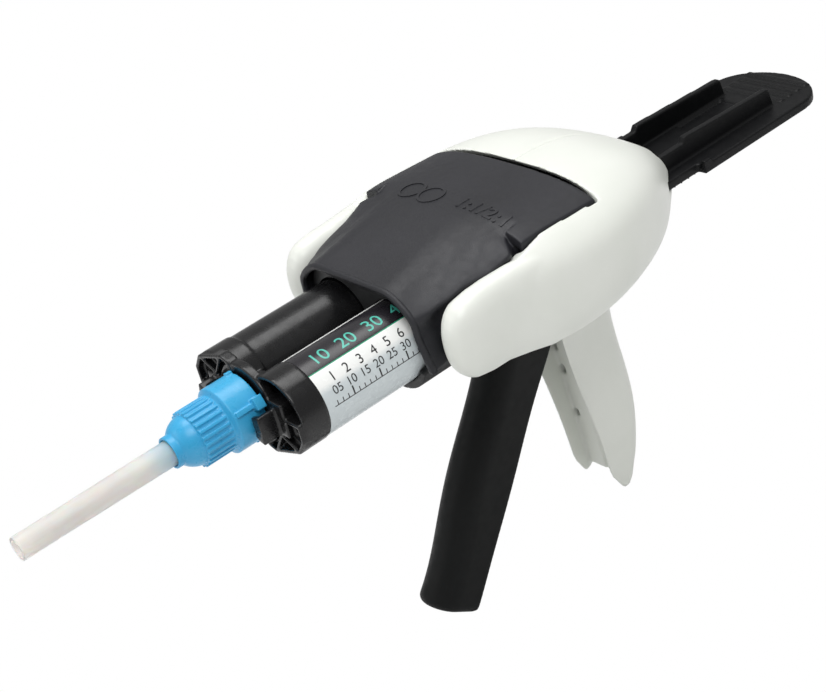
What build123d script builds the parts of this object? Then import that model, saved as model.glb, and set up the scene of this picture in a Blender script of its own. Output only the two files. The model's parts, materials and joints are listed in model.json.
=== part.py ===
"""A hand-held dispensing gun for two-barrel cartridges, with its cartridge and static mixer fitted.

Frame: +X points forward out of the mixer, +Y to the user's left, +Z up. The origin lies on the mid plane,
halfway between the two barrel axes, at the middle of the cartridge cradle. All sizes are in millimetres.
"""

import os
from math import atan2, cos, degrees, hypot, pi, radians, sin, sqrt

from build123d import *

os.makedirs("parts", exist_ok=True)

# Cartridge: two parallel barrels
barrel_r = 12.0
bore_r = 10.2
barrel_spacing = 26.8
cartridge_rear_x = -31.0
cap_rear_x = 60.0
cap_front_x = 68.5
cap_r = 12.4
flange_thickness = 2.6
flange_r = 15.2
end_wall_x = 62.0
shoulder_end_x = 66.6
shoulder_end_r = 4.0
wing_rear_x = 66.3
wing_front_x = 69.9
wing_floor = 1.2
wing_rim_width = 1.1
wing_rib_width = 0.9
wing_hub = (13.5, -6.0)
wing_rim = [
    (3.5, -6.0), (4.2, -12.8), (8.0, -13.8), (21.2, -9.8), (25.0, -4.8), (25.0, 1.0), (7.0, 1.0),
]
wing_rib_ends = [(8.3, -13.2), (20.8, -9.4), (13.5, 0.6)]
label_thickness = 0.15
label_rear_x = -22.0
outlet_half = 5.5

# Housing: station along X, half width, top height and bottom height of the outer surface
housing_stations = [
    (12.0, 36.0, 17.0, -11.0),
    (4.0, 41.0, 21.5, -15.8),
    (-5.0, 44.2, 24.3, -18.7),
    (-25.0, 47.0, 24.2, -20.3),
    (-45.0, 44.6, 23.7, -18.8),
    (-65.0, 35.9, 20.9, -17.0),
    (-82.0, 22.2, 12.3, -16.6),
    (-92.0, 12.8, 4.5, -16.4),
    (-98.0, 6.9, -1.0, -15.4),
]
housing_power = 3.0
wall = 2.4
rib_thickness = 2.0

# Handle: height, front edge, rear face and half width of the outer surface
handle_stations = [
    (-8.0, -36.0, -66.0, 13.5),
    (-30.0, -36.6, -63.0, 12.2),
    (-45.0, -38.2, -63.2, 11.4),
    (-65.0, -41.8, -65.4, 10.9),
    (-85.0, -44.9, -64.4, 10.8),
    (-108.0, -47.6, -57.6, 10.7),
]
handle_wall = 2.1
handle_back_depth = 8.5
web_thickness = 2.0
# Height and depth of the channel in the handle's front, behind its front edges
channel_depths = [
    (-7.0, 27.0), (-24.0, 16.5), (-31.0, 10.5), (-45.0, 9.0), (-65.0, 7.5), (-85.0, 6.0), (-107.0, 5.0),
]
web_end_z = -100.8

# Lobes beside the lid: station, inner and outer distance from the mid plane, top and bottom height
lobe_stations = [
    (-24.0, 34.5, 45.4, 15.5, -13.0),
    (-10.0, 33.6, 44.6, 17.4, -13.0),
    (-2.0, 32.0, 43.8, 17.3, -11.4),
    (6.0, 31.0, 43.3, 16.9, -9.9),
    (12.0, 30.9, 43.4, 16.6, -9.7),
    (16.0, 31.0, 43.4, 15.9, -9.0),
]
lobe_front_x = 24.6
lobe_tip = (37.6, 3.2)
lobe_tip_steps = 6
lobe_power = 2.5
# Height where the lobes meet the slot beside the lid, one for each hood station
slot_edges = [18.5, 12.5, 8.0, -10.0]
slot_roll_width = 12.0
slot_roll_rise = 6.0

# Lid
lid_thickness = 3.0
lid_rear_x = -39.8
ear_front_x = -10.0
ear_half_width = 36.3
ear_step_y = 30.0
# station, half width, top height, corner width, height where the side turns down, lowest height, skirt flare
hood_stations = [
    (-16.0, 33.8, 24.6, 24.0, 18.5, 11.0, 0.0),
    (0.0, 31.0, 23.6, 20.0, 11.0, 5.0, 0.0),
    (12.0, 29.0, 21.2, 16.0, 7.0, 1.5, 0.5),
    (27.0, 27.5, 18.3, 13.0, 5.0, -5.5, 1.8),
]
hood_wall = 1.5
lid_gap = 0.4
hinge_x = -38.0
hinge_z = 19.2
hinge_pin_r = 1.25
knuckle_r = 3.0
knuckle_half = 6.0
hinge_ear_r = 2.3
hinge_post_foot_z = 7.0
hinge_ear_width = 4.0
retainer_rear_x = -27.9

# Cradle
cradle_rear_x = -28.1
cradle_front_x = 27.0
cradle_r = 15.0
cradle_bore_r = 12.45

# Mechanism frame
frame_rear_x = -76.0
frame_front_x = -31.2
bulkhead_rear_x = -35.5
frame_half = 23.0
frame_wall = 2.2
ledge_inner = 15.8
pivot_cheek_outer = 10.2
check_lug_inner = 14.6

# Screws that join the shells, and the lower end of the handle seen from the side
screw_places = [(-62.0, 12.5), (-58.2, -33.0), (-85.0, -11.8)]
boss_r = 4.2
screw_r = 1.4
screw_head_r = 2.6
screw_head_height = 1.8
screw_recess_r = 2.8
screw_seat = 6.0
screw_reach = 6.5
handle_end = [
    (-30.0, -102.0), (-47.2, -102.0), (-48.8, -103.2), (-51.5, -103.4), (-54.3, -102.0),
    (-57.0, -98.6), (-59.6, -92.6), (-80.0, -78.0),
]
# Small openings in the corners between the channel's web and sides: lowest and highest point
web_slots = [(-52.0, -45.0), (-62.0, -58.0), (-80.0, -77.0)]

# Fits
running_gap = 0.05
side_gap = 0.3
guide_gap = 0.15

# Trigger and ratchet
pivot_x = -44.0
pivot_z = -17.0
pivot_pin_r = 2.0
trigger_half = 8.0
# points on the bar's middle line from the top down, with the reach to its front and its back
bar_stations = [
    (-31.5, -26.5, 3.0, 7.6),
    (-18.0, -46.0, 3.9, 7.4),
    (-6.0, -63.4, 4.3, 7.2),
    (6.0, -80.9, 3.9, 6.9),
    (15.0, -94.0, 2.6, 6.4),
    (19.5, -100.8, 2.7, 6.1),
    (24.0, -107.4, 3.6, 5.6),
]
trigger_wall = 2.4
hub_r = 5.5
cheek_thickness = 3.0
pawl_pin_x = pivot_x - 2.0
pawl_pin_z = pivot_z + 6.0
pawl_pin_r = 1.2
pawl_hub_r = 2.3
pawl_reach = 6.0
pawl_inner = 10.5
pawl_outer = 14.0
pawl_eye_r = 2.6
pawl_clearance = 0.35
pawl_coil_r = 2.0
pawl_wire_r = 0.35
return_coil_r = 3.0
return_wire_r = 0.45
return_coil_length = 8.0
neck_r_bar = 6.0
bar_end_fillet = 2.5
bar_rib_count = 5
bar_rib_thickness = 1.6
bar_rib_setback = 1.5
check_pin_x = -57.0
check_pin_z = -11.8

# Plunger
plate_top = -3.0
plate_thickness = 3.0
plate_half_wide = 20.2
plate_half_narrow = 17.0
plate_step_x = -101.0
plate_rear_x = -166.0
plate_round = 15.0
arm_inner = 6.0
arm_front_x = -34.3
nub_width = 1.5
nub_height = 1.4
nub_gap = 0.4
rail_inner = 9.4
rail_outer = 11.9
rail_top = 4.9
rail_rear_x = -143.5
rail_rear_top = 3.3
rail_drop = 1.9
grip_ridge_count = 4
grip_ridge_front_x = -147.5
grip_ridge_pitch = 4.2
grip_ridge_half = 13.0
tooth_inner = 9.4
tooth_outer = 14.4
tooth_pitch = 3.2
tooth_depth = 2.0
tooth_rear_x = -112.0
tooth_count = 22
disc_r = 9.6
disc_thickness = 3.0
disc_opening_r = 10.4
piston_gap = 0.1
piston_length = 12.0
piston_rear_x = -31.0
stroke = 64.0

# Mixer
skirt_r = 10.4
skirt_rear_x = 70.3
skirt_front_x = 80.5
knob_r = 8.9
knob_front_x = 90.0
rib_count = 26
rib_depth = 0.6
nose_r = 7.2
neck_r = 4.9
neck_start_x = 95.0
neck_end_x = 97.5
tube_r = 3.8
tube_end_r = 3.6
tube_bore_r = 2.7
tube_end_x = 147.0
tube_land = 14.0
lug_angle = 27.0
lug_half_angle = 9.0
lug_r = 12.9
lug_length = 3.0
cavity_r = 9.3
collar_bore_r = 4.15
helix_r = 2.5
helix_count = 9

half_spacing = barrel_spacing / 2
plate_bottom = plate_top - plate_thickness
tooth_tip_z = plate_bottom - tooth_depth
ear_inner = knuckle_half + side_gap
ear_outer = ear_inner + hinge_ear_width


def cross_plane(x):
    """Plane across the gun at a station, with local x along +Y and local y along +Z."""
    return Plane.YZ.offset(x)


def side_plane(y):
    """Plane along the gun at a distance from the mid plane, with local x along +X and local y along +Z."""
    return Plane.XZ.offset(-y)


def block(x, y, z, mode=Mode.ADD):
    """Box between two limits on each axis."""
    with Locations(((x[0] + x[1]) / 2, (y[0] + y[1]) / 2, (z[0] + z[1]) / 2)):
        Box(x[1] - x[0], y[1] - y[0], z[1] - z[0], mode=mode)


def round_x(x_rear, x_front, radius, y=0, mode=Mode.ADD):
    """Cylinder along X between two stations."""
    with Locations(Location(((x_rear + x_front) / 2, y, 0), (0, 90, 0))):
        Cylinder(radius, x_front - x_rear, mode=mode)


def round_y(x, z, y_low, y_high, radius, mode=Mode.ADD):
    """Cylinder across the gun between two distances from the mid plane."""
    with Locations(Location((x, (y_low + y_high) / 2, z), (90, 0, 0))):
        Cylinder(radius, y_high - y_low, mode=mode)


def ring_piece(x, radii, start, arc):
    """Part of a ring about the barrel axis line, from a start angle measured from +Y towards +Z."""
    lean = radians(start)
    frame = Plane(origin=(0, 0, 0), x_dir=(1, 0, 0), z_dir=(0, -sin(lean), cos(lean)))
    with BuildSketch(frame) as profile:
        with Locations(((x[0] + x[1]) / 2, (radii[0] + radii[1]) / 2)):
            Rectangle(x[1] - x[0], radii[1] - radii[0])
    revolve(profile.sketch, axis=Axis.X, revolution_arc=arc)


def coil(x, z, y_start, length, mean_r, wire_r, pitch):
    """Open coil of round wire wound about a line across the gun."""
    path = Helix(pitch, length, mean_r, center=(x, y_start, z), direction=(0, 1, 0))
    with BuildPart() as wound:
        with BuildSketch(Plane(origin=path @ 0, z_dir=path % 0)):
            Circle(wire_r)
        sweep(path=path, is_frenet=True)
    return wound.part


def closed_oval(half_width, top, bottom, power, count=20):
    """Points of a closed oval that is squarer than an ellipse when power is over 2."""
    middle = (top + bottom) / 2
    half_height = (top - bottom) / 2
    points = []
    for i in range(count):
        turn = 2 * pi * (i + 0.5) / count
        c = cos(turn)
        s = sin(turn)
        y = half_width * abs(c) ** (2 / power) * (1 if c > 0 else -1)
        z = middle + half_height * abs(s) ** (2 / power) * (1 if s > 0 else -1)
        points.append((y, z))
    return points


def housing_height(x, y):
    """Height of the housing's outer top surface, between two of its stations."""
    for front, rear in zip(housing_stations, housing_stations[1:]):
        if rear[0] <= x <= front[0]:
            share = (front[0] - x) / (front[0] - rear[0])
            half, top, bottom = [a + (b - a) * share for a, b in zip(front[1:], rear[1:])]
            middle = (top + bottom) / 2
            rise = 1 - (abs(y) / half) ** housing_power
            return middle + (top - middle) * max(rise, 0.0) ** (1 / housing_power)
    return 0.0


def housing_volume(inset, front_inset, rear_inset):
    """The housing's smooth outer volume, or the same moved in by an inset."""
    with BuildPart() as volume:
        for index, (x, half, top, bottom) in enumerate(housing_stations):
            if index == 0:
                x = x - front_inset
            if index == len(housing_stations) - 1:
                x = x + rear_inset
            with BuildSketch(cross_plane(x)):
                with BuildLine():
                    oval = closed_oval(half - inset, top - inset, bottom + inset, housing_power)
                    Spline(*oval, periodic=True)
                make_face()
        loft()
    return volume.part


def handle_volume(inset, extra_front):
    """The handle's outer volume, or its channel when an inset is given."""
    with BuildPart() as volume:
        for z, front_x, rear_x, half in handle_stations:
            width = half - inset
            back = rear_x + inset
            depth = handle_back_depth - inset
            with BuildSketch(Plane.XY.offset(z)):
                with BuildLine():
                    start = (front_x + extra_front, width)
                    near = (back + depth, width)
                    far = (back + depth, -width)
                    end = (front_x + extra_front, -width)
                    Line(start, near)
                    EllipticalCenterArc((back + depth, 0), depth, width, start_angle=90, arc_size=180)
                    Line(far, end)
                    Line(end, start)
                make_face()
        loft()
    return volume.part


def hood_volume(inset, lower):
    """The hood's outer volume over the barrels; a positive inset gives its inside."""
    with BuildPart() as volume:
        for x, half, top, corner, turn_z, low, flare in hood_stations:
            width = half - inset
            crown = top - inset
            base = low - lower
            flat = half - corner
            corner_x = width - flat
            corner_z = crown - turn_z
            with BuildSketch(cross_plane(x)):
                with BuildLine():
                    Line((-width - flare, base), (width + flare, base))
                    Line((width + flare, base), (width, turn_z))
                    EllipticalCenterArc((flat, turn_z), corner_x, corner_z, start_angle=0, arc_size=90)
                    Line((flat, crown), (-flat, crown))
                    EllipticalCenterArc((-flat, turn_z), corner_x, corner_z, start_angle=90, arc_size=90)
                    Line((-width, turn_z), (-width - flare, base))
                make_face()
        loft()
    return volume.part


def lobe_volume(side, inset):
    """One of the two lobes beside the lid, or its hollow when an inset is given."""
    stations = [station for station in lobe_stations]
    last_x, last_inner, last_outer, last_top, last_bottom = lobe_stations[-1]
    tip_y, tip_z = lobe_tip
    for step in range(1, lobe_tip_steps + 1):
        turn = radians(90 * step / (lobe_tip_steps + 0.35))
        x = last_x + (lobe_front_x - last_x) * sin(turn)
        inner = tip_y + (last_inner - tip_y) * cos(turn)
        outer = tip_y + (last_outer - tip_y) * cos(turn)
        top = tip_z + (last_top - tip_z) * cos(turn)
        bottom = tip_z + (last_bottom - tip_z) * cos(turn)
        stations.append((x, inner, outer, top, bottom))
    with BuildPart() as volume:
        for x, inner, outer, top, bottom in stations:
            if outer - inner > 3 * inset:
                middle = side * (inner + outer) / 2
                oval = closed_oval((outer - inner) / 2 - inset, top - inset, bottom + inset, lobe_power)
                with BuildSketch(cross_plane(x - inset / 2)):
                    with BuildLine():
                        Spline(*[(middle + y, z) for y, z in oval], periodic=True)
                    make_face()
        loft(ruled=True)
    return volume.part


def handle_edge(z):
    """The handle's front edge and half width at a height, between two of its stations."""
    for upper, lower in zip(handle_stations, handle_stations[1:]):
        if lower[0] <= z:
            share = (upper[0] - z) / (upper[0] - lower[0])
            return upper[1] + (lower[1] - upper[1]) * share, upper[3] + (lower[3] - upper[3]) * share
    return handle_stations[-1][1], handle_stations[-1][3]


def handle_block(rear, front, half):
    """Ruled block down the handle, from limits given for each height of the channel."""
    with BuildPart() as volume:
        for index, (z, depth) in enumerate(channel_depths):
            with BuildSketch(Plane.XY.offset(z)):
                Polygon(
                    (rear[index], -half[index]), (front[index], -half[index]),
                    (front[index], half[index]), (rear[index], half[index]),
                    align=None,
                )
        loft(ruled=True)
    return volume.part


def slot_volume(drop, rolled):
    """Room for the lid between the lobes, with sides that lean outwards when rolled."""
    with BuildPart() as volume:
        for (x, half, top, corner, turn_z, low, flare), edge_z in zip(hood_stations, slot_edges):
            near = half + flare + lid_gap
            corner_z = edge_z - drop
            if rolled:
                base = (0, corner_z)
                points = [(near, corner_z), (near + slot_roll_width, corner_z + slot_roll_rise)]
            else:
                base = (near, low - lid_gap)
                points = [(near, corner_z)]
            right_side = [base] + points + [(points[-1][0], 50)]
            left_side = [(-y, z) for y, z in reversed(right_side)]
            with BuildSketch(cross_plane(x)):
                Polygon(*right_side, *[point for point in left_side if point[0] != 0], align=None)
        loft(ruled=True)
    return volume.part


edges = [handle_edge(z) for z, depth in channel_depths]
depths = [depth for z, depth in channel_depths]
housing_inner = housing_volume(wall, wall, wall)
handle_outer = handle_volume(0, 0)
handle_channel = handle_block(
    [edge[0] - depth for edge, depth in zip(edges, depths)],
    [edge[0] + 14 for edge in edges],
    [edge[1] - handle_wall for edge in edges],
)
handle_hollow = handle_volume(handle_wall, 0) & handle_block(
    [-90 for edge in edges],
    [edge[0] - depth - web_thickness for edge, depth in zip(edges, depths)],
    [40 for edge in edges],
)

# Lid: the rear plate follows the housing, the hood drops over the barrels
hood_outer = hood_volume(0, 0)
hood_inner = hood_volume(hood_wall, 8)
lid_plate_inner = housing_volume(lid_thickness, 0, 0)
ear_length = ear_front_x - lid_rear_x
ear_middle_x = (lid_rear_x + ear_front_x) / 2
hinge_line = Location((hinge_x, 0, hinge_z), (90, 0, 0))
ear_offset = knuckle_half + side_gap + hinge_ear_width / 2
with BuildPart() as lid_plate:
    add(housing_volume(0, 0, 0))
    add(lid_plate_inner, mode=Mode.SUBTRACT)
    block((lid_rear_x, ear_front_x), (-ear_half_width, ear_half_width), (5, 35), mode=Mode.INTERSECT)
    block((ear_front_x - 5.5, ear_front_x + 1), (-ear_step_y, ear_step_y), (5, 35), mode=Mode.SUBTRACT)
with BuildPart() as hood:
    add(hood_outer)
    add(hood_inner, mode=Mode.SUBTRACT)
with BuildPart() as lid:
    add(lid_plate.part)
    add(hood.part)
    add(hood_inner, mode=Mode.SUBTRACT)
    round_y(hinge_x, hinge_z, -knuckle_half, knuckle_half, knuckle_r)
    for ear_y in (-ear_outer, ear_inner):
        round_y(
            hinge_x, hinge_z, ear_y - side_gap, ear_y + hinge_ear_width + side_gap,
            hinge_ear_r + lid_gap, mode=Mode.SUBTRACT,
        )
    round_y(hinge_x, hinge_z, -ear_outer, ear_outer, hinge_pin_r + running_gap, mode=Mode.SUBTRACT)
lid.part.label = "lid"
export_step(lid.part, "parts/lid.step")

# Retainer: two plates inside the hood that hold the barrels down
retainer_clearance = 0.6
retainer_pieces = []
for plate_x, plate_width, room in ((retainer_rear_x, 4.0, lid_plate_inner), (18.0, 5.0, hood_inner)):
    with BuildPart() as retainer_piece:
        with BuildSketch(cross_plane(plate_x)):
            with Locations((0, 12.8)):
                Rectangle(70, 24)
            with Locations((-half_spacing, 0), (half_spacing, 0)):
                Circle(barrel_r + retainer_clearance, mode=Mode.SUBTRACT)
        extrude(amount=plate_width)
        add(room, mode=Mode.INTERSECT)
    retainer_pieces.append(retainer_piece.part)
with BuildPart() as lid_retainer:
    for piece in retainer_pieces:
        add(piece)
lid_retainer.part.label = "lid_retainer"
export_step(lid_retainer.part, "parts/lid_retainer.step")

# The lid's rear edge swings about the hinge, so the roof behind it is cut to the swept radius
swing_half = ear_half_width + lid_gap + 0.2
swing_points = []
for i in range(17):
    y = swing_half * (i - 8) / 8
    reach = hypot(hinge_x - lid_rear_x, max(housing_height(lid_rear_x, y) - hinge_z, 0))
    swing_points.append((y, reach + lid_gap + 0.3))
with BuildPart() as ear_slot:
    with BuildSketch(Plane(origin=(hinge_x, 0, hinge_z), x_dir=(0, 1, 0), z_dir=(1, 0, 0))):
        Polygon(*swing_points, (swing_half, 0), (-swing_half, 0), align=None)
    revolve(axis=Axis((hinge_x, 0, hinge_z), (0, 1, 0)))
    block(
        (lid_rear_x - lid_gap, ear_front_x + lid_gap),
        (-ear_half_width - lid_gap, ear_half_width + lid_gap),
        (8, 50),
    )

# Cradle: the open trough that the two barrels lie in
with BuildPart() as cradle_room:
    for side in (-1, 1):
        round_x(cradle_rear_x - 5, cradle_front_x + 5, cradle_r + side_gap, side * half_spacing)
    block(
        (cradle_rear_x - 5, cradle_front_x + 5),
        (-half_spacing, half_spacing),
        (-cradle_r - side_gap, cradle_r),
    )
skirt_slope = (hood_stations[3][5] - hood_stations[2][5]) / (hood_stations[3][0] - hood_stations[2][0])
skirt_end_z = hood_stations[3][5] + skirt_slope * (cradle_front_x - hood_stations[3][0]) - 0.7
skirt_start_x = cradle_front_x + (0 - skirt_end_z) / skirt_slope
with BuildPart() as cradle:
    for side in (-1, 1):
        round_x(cradle_rear_x, cradle_front_x, cradle_r, side * half_spacing)
    block((cradle_rear_x, cradle_front_x), (-half_spacing, half_spacing), (-cradle_r, 0))
    for side in (-1, 1):
        round_x(cradle_rear_x, cradle_front_x, cradle_bore_r, side * half_spacing, mode=Mode.SUBTRACT)
    with BuildSketch(side_plane(40)):
        Polygon(
            (cradle_rear_x - 1, 0), (skirt_start_x, 0), (cradle_front_x, skirt_end_z),
            (cradle_front_x + 1, skirt_end_z), (cradle_front_x + 1, 30), (cradle_rear_x - 1, 30),
            align=None,
        )
    extrude(amount=80, mode=Mode.SUBTRACT)
cradle.part.label = "cradle"
export_step(cradle.part, "parts/cradle.step")

# Shells: one hollow body that is split on the mid plane
with BuildPart() as outer_form:
    add(housing_volume(0, 0, 0))
    add(slot_volume(0, True), mode=Mode.SUBTRACT)
    add(lobe_volume(1, 0))
    add(lobe_volume(-1, 0))
    add(handle_outer)
with BuildPart() as inner_form:
    add(housing_inner)
    add(slot_volume(wall, True), mode=Mode.SUBTRACT)
with BuildPart() as body:
    add(outer_form.part)
    add(inner_form.part, mode=Mode.SUBTRACT)
    add(lobe_volume(1, wall), mode=Mode.SUBTRACT)
    add(lobe_volume(-1, wall), mode=Mode.SUBTRACT)
    add(handle_channel, mode=Mode.SUBTRACT)
    add(handle_hollow, mode=Mode.SUBTRACT)
    for low, high in web_slots:
        slot_front, slot_half = handle_edge((low + high) / 2)
        for side in (-1, 1):
            inner_y, outer_y = sorted((side * (slot_half - handle_wall - 2), side * (slot_half - handle_wall)))
            block((slot_front - 14, slot_front - 3), (inner_y, outer_y), (low, high), mode=Mode.SUBTRACT)
    block((-57, -44), (-8.6, 8.6), (-110, web_end_z), mode=Mode.SUBTRACT)
    with BuildSketch(side_plane(30)):
        Polygon(*handle_end, (-80, -120), (-30, -120), align=None)
    extrude(amount=60, mode=Mode.SUBTRACT)
with BuildPart() as stiffeners:
    for rib_x in (-20.0, 8.0):
        block((rib_x, rib_x + rib_thickness), (-40, 40), (-25, -6.5))
    for rib_x in (-71.0, -52.0):
        for side in (-1, 1):
            low, high = sorted((side * (frame_half + side_gap), side * 50))
            block((rib_x, rib_x + rib_thickness), (low, high), (-12, 8))
    add(outer_form.part, mode=Mode.INTERSECT)
with BuildPart() as bosses:
    for boss_x, boss_z in screw_places:
        round_y(boss_x, boss_z, -50, 50, boss_r)
    add(outer_form.part, mode=Mode.INTERSECT)
with BuildPart() as shells:
    add(body.part)
    add(stiffeners.part)
    add(bosses.part)
    add(slot_volume(0, False), mode=Mode.SUBTRACT)
    add(ear_slot.part, mode=Mode.SUBTRACT)
    add(cradle_room.part, mode=Mode.SUBTRACT)
    # opening for the trigger and its head
    block((-62, 7), (-trigger_half - 1.5, trigger_half + 1.5), (-30, -7), mode=Mode.SUBTRACT)
    # slot for the plunger
    block(
        (-110, -76),
        (-rail_outer - 0.7, rail_outer + 0.7),
        (plate_bottom - 0.4, rail_top + 1.1),
        mode=Mode.SUBTRACT,
    )
    block(
        (-110, -76),
        (-plate_half_wide - 0.4, plate_half_wide + 0.4),
        (plate_bottom - 0.4, plate_top + 0.4),
        mode=Mode.SUBTRACT,
    )
    for side in (-1, 1):
        low, high = sorted((side * (tooth_inner - 0.4), side * (tooth_outer + 0.6)))
        block((-110, -76), (low, high), (tooth_tip_z - 0.4, plate_bottom), mode=Mode.SUBTRACT)
        nub_y = sorted((side * (plate_half_wide - nub_width - nub_gap), side * (plate_half_wide + nub_gap)))
        block((-110, -76), nub_y, (plate_top, plate_top + nub_height + nub_gap), mode=Mode.SUBTRACT)
    for boss_x, boss_z in screw_places:
        round_y(boss_x, boss_z, -60, -screw_seat, screw_recess_r, mode=Mode.SUBTRACT)
        round_y(boss_x, boss_z, -screw_seat - 1, 0, screw_r + 0.15, mode=Mode.SUBTRACT)
        round_y(boss_x, boss_z, 0, screw_reach + 0.5, screw_r + 0.02, mode=Mode.SUBTRACT)
with BuildPart() as left_shell:
    add(shells.part)
    block((-200, 100), (0, 100), (-150, 100), mode=Mode.INTERSECT)
with BuildPart() as right_shell:
    add(shells.part)
    block((-200, 100), (-100, 0), (-150, 100), mode=Mode.INTERSECT)
left_shell.part.label = "left_shell"
right_shell.part.label = "right_shell"
export_step(left_shell.part, "parts/left_shell.step")
export_step(right_shell.part, "parts/right_shell.step")

with BuildPart() as shell_screws:
    for boss_x, boss_z in screw_places:
        round_y(boss_x, boss_z, -screw_seat, screw_reach, screw_r)
        round_y(boss_x, boss_z, -screw_seat - screw_head_height, -screw_seat, screw_head_r)
        with Locations((boss_x, -screw_seat - screw_head_height + 0.4, boss_z)):
            Box(0.9, 0.8, 3.2, mode=Mode.SUBTRACT)
            Box(3.2, 0.8, 0.9, mode=Mode.SUBTRACT)
shell_screws.part.label = "shell_screws"
export_step(shell_screws.part, "parts/shell_screws.step")

# Mechanism frame: guides the plunger and carries the trigger pivot and the lid hinge
with BuildPart() as frame_block:
    for side in (-1, 1):
        low, high = sorted((side * (frame_half - frame_wall), side * frame_half))
        block((frame_rear_x, frame_front_x), (low, high), (-11, 7))
        low, high = sorted((side * ledge_inner, side * frame_half))
        block((frame_rear_x, bulkhead_rear_x), (low, high), (-9, plate_bottom - guide_gap))
        low, high = sorted((side * plate_half_narrow + side * 0.4, side * frame_half))
        block((frame_rear_x, bulkhead_rear_x), (low, high), (plate_top + guide_gap, -0.5))
        nub_y = sorted((side * (plate_half_wide - nub_width - nub_gap), side * (plate_half_wide + nub_gap)))
        nub_z = (plate_top, plate_top + nub_height + nub_gap)
        block((frame_rear_x - 1, bulkhead_rear_x), nub_y, nub_z, mode=Mode.SUBTRACT)
    block((frame_rear_x, frame_rear_x + 3), (-27, 27), (-14, 14))
    block(
        (frame_rear_x - 1, frame_rear_x + 4),
        (-plate_half_wide - 0.4, plate_half_wide + 0.4),
        (tooth_tip_z - 0.4, rail_top + 1.5),
        mode=Mode.SUBTRACT,
    )
    block((bulkhead_rear_x, frame_front_x), (-27, 27), (-15, 13))
    for side in (-1, 1):
        centre = side * half_spacing
        round_x(bulkhead_rear_x - 1, frame_front_x + 1, disc_opening_r, centre, mode=Mode.SUBTRACT)
    add(housing_volume(wall + 3 * side_gap, wall, wall), mode=Mode.INTERSECT)
with BuildPart() as mechanism_frame:
    add(frame_block.part)
    for side in (-1, 1):
        # cheeks beside the trigger head
        low, high = sorted((side * (trigger_half + side_gap), side * pivot_cheek_outer))
        block((pivot_x - 5, frame_front_x), (low, high), (pivot_z - 5, -13.5))
        block((bulkhead_rear_x, frame_front_x), (low, high), (-14, -12))
        # lugs that hold the check pawl's pin
        low, high = sorted((side * check_lug_inner, side * (check_lug_inner + 2.4)))
        block((check_pin_x - 3, check_pin_x + 3), (low, high), (check_pin_z - 2.2, -8))
        # posts and ears of the lid hinge
        low, high = sorted((side * ear_inner, side * ear_outer))
        block((hinge_x - 1.8, bulkhead_rear_x + 1), (low, high), (hinge_post_foot_z, hinge_z))
        round_y(hinge_x, hinge_z, low, high, hinge_ear_r)
        block((hinge_x + 1.4, bulkhead_rear_x + 2), (low, high), (13, hinge_z + 3), mode=Mode.SUBTRACT)
    round_y(pivot_x, pivot_z, -12, 12, pivot_pin_r + running_gap, mode=Mode.SUBTRACT)
    round_y(check_pin_x, check_pin_z, -20, 20, pawl_pin_r + running_gap, mode=Mode.SUBTRACT)
    round_y(hinge_x, hinge_z, -12, 12, hinge_pin_r + running_gap, mode=Mode.SUBTRACT)
mechanism_frame.part.label = "mechanism_frame"
export_step(mechanism_frame.part, "parts/mechanism_frame.step")

with BuildPart() as lid_hinge_pin:
    round_y(hinge_x, hinge_z, -ear_outer, ear_outer, hinge_pin_r)
lid_hinge_pin.part.label = "lid_hinge_pin"
export_step(lid_hinge_pin.part, "parts/lid_hinge_pin.step")

with BuildPart() as trigger_pivot_pin:
    round_y(pivot_x, pivot_z, -pivot_cheek_outer, pivot_cheek_outer, pivot_pin_r)
trigger_pivot_pin.part.label = "trigger_pivot_pin"
export_step(trigger_pivot_pin.part, "parts/trigger_pivot_pin.step")

# Trigger: a long bar with an open back below two cheeks on the pivot
bar_top = bar_stations[0]
bar_low = bar_stations[-1]
bar_length = hypot(bar_low[0] - bar_top[0], bar_low[1] - bar_top[1])
down = ((bar_low[0] - bar_top[0]) / bar_length, (bar_low[1] - bar_top[1]) / bar_length)
ahead = (-down[1], down[0])


def bar_plane(point):
    """Plane across the bar, with local x towards its front."""
    return Plane(origin=(point[0], 0, point[1]), x_dir=(ahead[0], 0, ahead[1]), z_dir=(down[0], 0, down[1]))


def bar_volume(inset, extra_back, stations):
    """The bar's outer volume, or its channel when an inset is given."""
    with BuildPart() as volume:
        for x, z, nose, back in stations:
            half = trigger_half - inset
            rear = -back - extra_back
            with BuildSketch(bar_plane((x, z))):
                with BuildLine():
                    Polyline((nose, half), (rear, half), (rear, -half), (nose, -half))
                    CenterArc((nose, 0), half, -90, 180)
                make_face()
        loft()
    return volume.part


def bar_point(distance):
    """Point on the straight line down the bar at a distance from its top."""
    return (bar_top[0] + down[0] * distance, bar_top[1] + down[1] * distance)


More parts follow.
